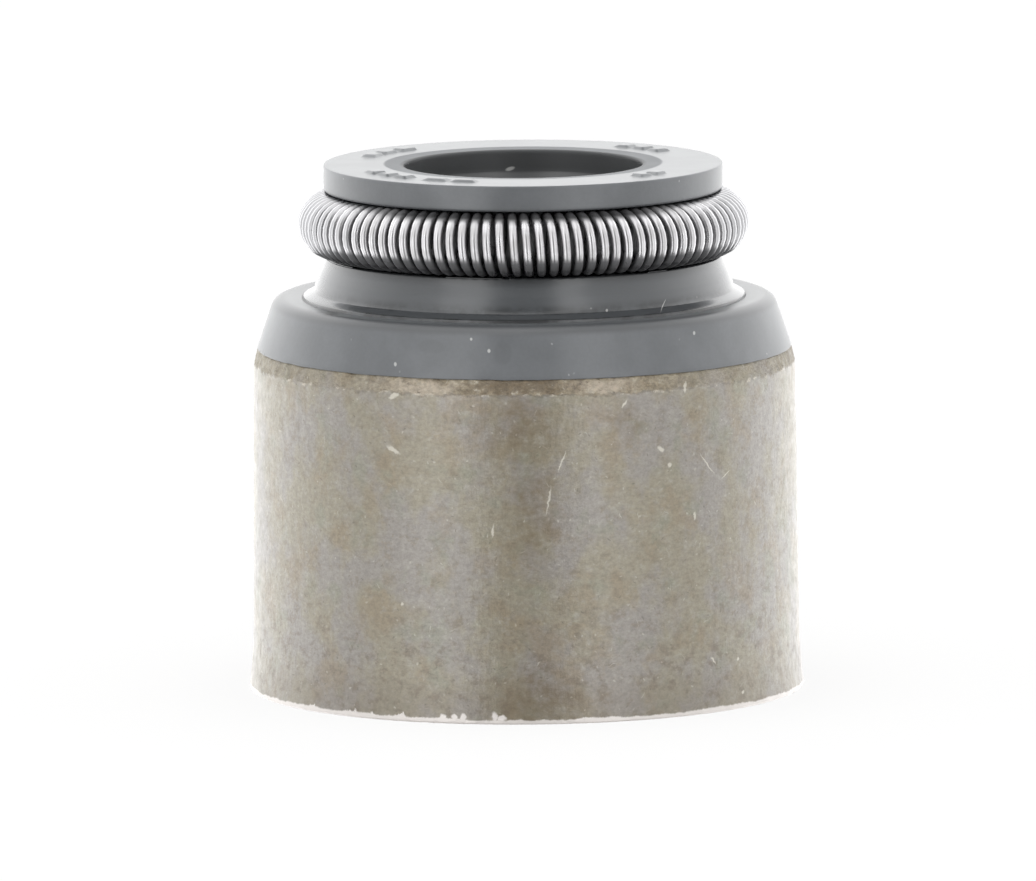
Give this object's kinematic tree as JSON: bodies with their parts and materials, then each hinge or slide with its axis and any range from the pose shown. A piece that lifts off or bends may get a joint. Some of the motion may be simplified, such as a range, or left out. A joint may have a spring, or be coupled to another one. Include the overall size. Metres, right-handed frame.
{
  "type": "valve stem seal",
  "caption": "Engine valve stem seal: rubber body with a sprung lip and a grooved head, moulded through and over the corner of a drawn steel shell, with a garter spring in its groove.",
  "frame": {"origin": "on the seal's axis, in the plane of the steel shell's lower rim", "axes": "+Z along the seal's axis, from the open rim up to the sealing head; X and Y are alike because the seal is round"},
  "size_m": [0.0172, 0.0172, 0.0163],
  "materials": {
    "shell_steel": "matte olive-grey pressed steel with mottled bonding agent, nicks and scratches",
    "seal_rubber": "satin blue-grey moulded rubber",
    "spring_steel": "bright drawn spring wire"
  },
  "bodies": {
    "root": {"steel_shell": "shell_steel", "rubber_seal_body": "seal_rubber", "garter_spring": "spring_steel"}
  },
  "joints": []
}
